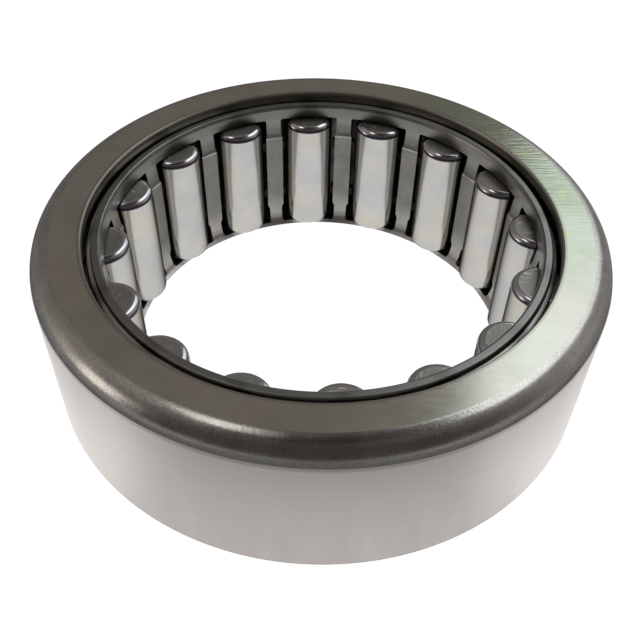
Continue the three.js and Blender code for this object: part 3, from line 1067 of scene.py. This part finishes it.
def build_backdrop():
    """A plain pale dome far around, seen only by the camera."""
    mesh = bpy.data.meshes.new("backdrop")
    bm = bmesh.new()
    bmesh.ops.create_icosphere(bm, subdivisions=5, radius=2.9)
    bmesh.ops.delete(bm, geom=[v for v in bm.verts if v.co.z < -0.4], context="VERTS")
    bm.to_mesh(mesh)
    bm.free()
    mesh.shade_smooth()
    o = bpy.data.objects.new("backdrop", mesh)
    collection.objects.link(o)
    n = Nodes("backdrop_pale")
    n.bsdf.inputs["Base Color"].default_value = (0.0, 0.0, 0.0, 1)
    n.bsdf.inputs["Roughness"].default_value = 1.0
    n.bsdf.inputs["Specular IOR Level"].default_value = 0.0
    tc = n.add("ShaderNodeTexCoord")
    sep = n.add("ShaderNodeSeparateXYZ")
    n.link(tc.outputs["Object"], sep.inputs[0])
    col = n.ramp(n.math("MULTIPLY", sep.outputs[2], 0.5), [(0.0, (1.0, 1.0, 0.995)), (0.9, (0.90, 0.90, 0.90))])
    n.link(col, n.bsdf.inputs["Emission Color"])
    n.bsdf.inputs["Emission Strength"].default_value = 1.0
    mesh.materials.append(n.mat)
    only_camera(o)
    o.visible_diffuse = False


def direction(az, el):
    """Azimuth clockwise from +Y seen from above, elevation up, both in degrees."""
    a, e = math.radians(az), math.radians(el)
    return Vector((math.sin(a) * math.cos(e), math.cos(a) * math.cos(e), math.sin(e)))


def build_world():
    """A dim room with one large window behind on the right, a narrow one on the left and a short
    strip overhead, laid out by azimuth and elevation in degrees."""
    w = bpy.data.worlds.new("studio")
    scene.world = w
    w.use_nodes = True
    n = Nodes.__new__(Nodes)
    n.tree = w.node_tree
    bg = n.tree.nodes["Background"]
    tc = n.add("ShaderNodeTexCoord")
    sep = n.add("ShaderNodeSeparateXYZ")
    n.link(tc.outputs["Generated"], sep.inputs[0])
    x, y, z = sep.outputs
    az = n.math("MULTIPLY", n.math("ARCTAN2", x, y), 57.29578)
    el = n.math("MULTIPLY", n.math("ARCSINE", z), 57.29578)

    def curve(value, lo, hi, points, out_lo, out_hi):
        """Table of value -> result, straight between points."""
        mr = n.add("ShaderNodeMapRange")
        n.link(value, mr.inputs["Value"])
        mr.inputs["From Min"].default_value = lo
        mr.inputs["From Max"].default_value = hi
        c = n.add("ShaderNodeFloatCurve")
        m = c.mapping
        pts = m.curves[0].points
        data = [((p - lo) / (hi - lo), (v - out_lo) / (out_hi - out_lo)) for p, v in points]
        while len(pts) < len(data):
            pts.new(0.5, 0.5)
        for p, (a, b) in zip(pts, data):
            p.location = (a, b)
            p.handle_type = "VECTOR"
        m.update()
        n.link(mr.outputs["Result"], c.inputs["Value"])
        k = n.math("MULTIPLY", c.outputs[0], out_hi - out_lo)
        return n.math("ADD", k, out_lo)

    def step(value, centre, half):
        """0 below centre - half, 1 above centre + half; centre may be a socket."""
        d = n.math("SUBTRACT", value, centre)
        mr = n.add("ShaderNodeMapRange", interpolation_type="SMOOTHSTEP")
        n.link(d, mr.inputs["Value"])
        mr.inputs["From Min"].default_value = -half
        mr.inputs["From Max"].default_value = half
        return mr.outputs["Result"]

    def inv(v):
        return n.math("SUBTRACT", 1.0, v)

    def mul(*vs):
        out = vs[0]
        for v in vs[1:]:
            out = n.math("MULTIPLY", out, v)
        return out

    # room: dark behind the camera, brighter behind the object, darker overhead
    around = curve(y, -1.0, 1.0, [(-1.0, 0.06), (-0.93, 0.07), (-0.78, 0.065), (-0.60, 0.070), (-0.3, 0.15), (0.0, 0.28), (0.2, 0.31), (0.6, 0.20),
                                  (1.0, 0.18)], 0.0, 1.0)
    top = curve(el, 0.0, 90.0, [(0, 1.12), (12, 1.0), (40, 0.92), (52, 0.96), (59, 0.80), (66, 0.38), (75, 0.17), (90, 0.13)], 0.0, 2.0)
    room = mul(around, top)
    # the large window behind on the right
    left = curve(el, 0.0, 90.0, [(0, 24), (10, 21.5), (20, 19), (30, 16.5), (45, 15.2), (55, 18), (63, 24), (90, 60)], 0.0, 120.0)
    right = curve(el, 0.0, 90.0, [(0, 34), (10, 39), (20, 45), (30, 52), (38, 60), (44, 70), (49, 79), (56, 88), (90, 90)], 0.0, 120.0)
    power = curve(el, 0.0, 90.0, [(0, 0.20), (10, 0.44), (20, 0.70), (30, 0.92), (40, 1.12), (50, 1.38), (60, 1.42), (90, 1.42)], 0.0, 2.0)
    window = mul(step(az, left, 1.6), inv(step(az, right, 5.0)), inv(step(el, 64.5, 2.5)), power)
    glow = mul(step(az, 20.0, 20.0), inv(step(az, 92.0, 26.0)), inv(step(el, 62.0, 10.0)), 0.09)
    # the narrow window on the left
    slot = mul(step(az, -111.0, 5.0), inv(step(az, -93.0, 5.0)), inv(step(el, 25.5, 5.0)), step(el, -3.0, 4.0), 1.15)
    slot2 = mul(step(az, -118.0, 6.0), inv(step(az, -78.0, 10.0)), inv(step(el, 32.0, 10.0)), 0.14)
    # the strip overhead
    strip = mul(step(az, -112.0, 12.0), inv(step(az, -38.0, 10.0)), step(el, 68.2, 1.8), inv(step(el, 77.0, 1.8)), 1.9)

    strip2 = mul(step(az, -120.0, 12.0), inv(step(az, -28.0, 16.0)), step(el, 56.0, 6.0), inv(step(el, 80.0, 5.0)), 0.10)

    def tinted(v, colour):
        c = n.add("ShaderNodeVectorMath", operation="SCALE")
        c.inputs[0].default_value = colour
        n.link(v, c.inputs["Scale"])
        return c.outputs[0]

    def total(*vs):
        out = vs[0]
        for v in vs[1:]:
            a = n.add("ShaderNodeVectorMath", operation="ADD")
            n.link(out, a.inputs[0])
            n.link(v, a.inputs[1])
            out = a.outputs[0]
        return out

    col = total(tinted(room, (1.08, 0.98, 0.92)), tinted(window, (0.96, 1.03, 1.07)), tinted(glow, (0.97, 1.02, 1.0)),
                tinted(slot, (1.05, 1.0, 0.92)), tinted(slot2, (1.05, 1.0, 0.92)), tinted(strip, (1.03, 1.0, 0.95)), tinted(strip2, (1.0, 1.0, 0.98)))
    n.link(col, bg.inputs["Color"])
    bg.inputs["Strength"].default_value = 1.0


floor = build_floor()
build_backdrop()
build_world()


def build_camera():
    cam = bpy.data.cameras.new("camera")
    cam.sensor_fit = "HORIZONTAL"
    cam.sensor_width = 36.0
    f_px, e, d, yaw, pit, roll = 835.16, math.radians(38.3613), 2.9202 * RING_R, math.radians(0.0066), math.radians(-7.0703), math.radians(1.5585)
    cam.lens = f_px * 36.0 / 640.0
    cam.clip_start = 0.005
    cam.clip_end = 20
    C = np.array([0, -d * math.cos(e), d * math.sin(e) + RING_H]) * MM
    fw = np.array([0, math.cos(e), -math.sin(e)])
    right = np.array([1.0, 0, 0])
    up = np.cross(right, fw)
    fw2 = fw * math.cos(yaw) + right * math.sin(yaw)
    r2 = right * math.cos(yaw) - fw * math.sin(yaw)
    fw3 = fw2 * math.cos(pit) + up * math.sin(pit)
    u3 = up * math.cos(pit) - fw2 * math.sin(pit)
    r4 = r2 * math.cos(roll) + u3 * math.sin(roll)
    u4 = u3 * math.cos(roll) - r2 * math.sin(roll)
    o = bpy.data.objects.new("camera", cam)
    collection.objects.link(o)
    m = Matrix.Identity(4)
    for i in range(3):
        m[i][0], m[i][1], m[i][2], m[i][3] = r4[i], u4[i], -fw3[i], C[i]
    o.matrix_world = m
    scene.camera = o


build_camera()
scene.view_settings.view_transform = "Standard"
scene.view_settings.look = "None"
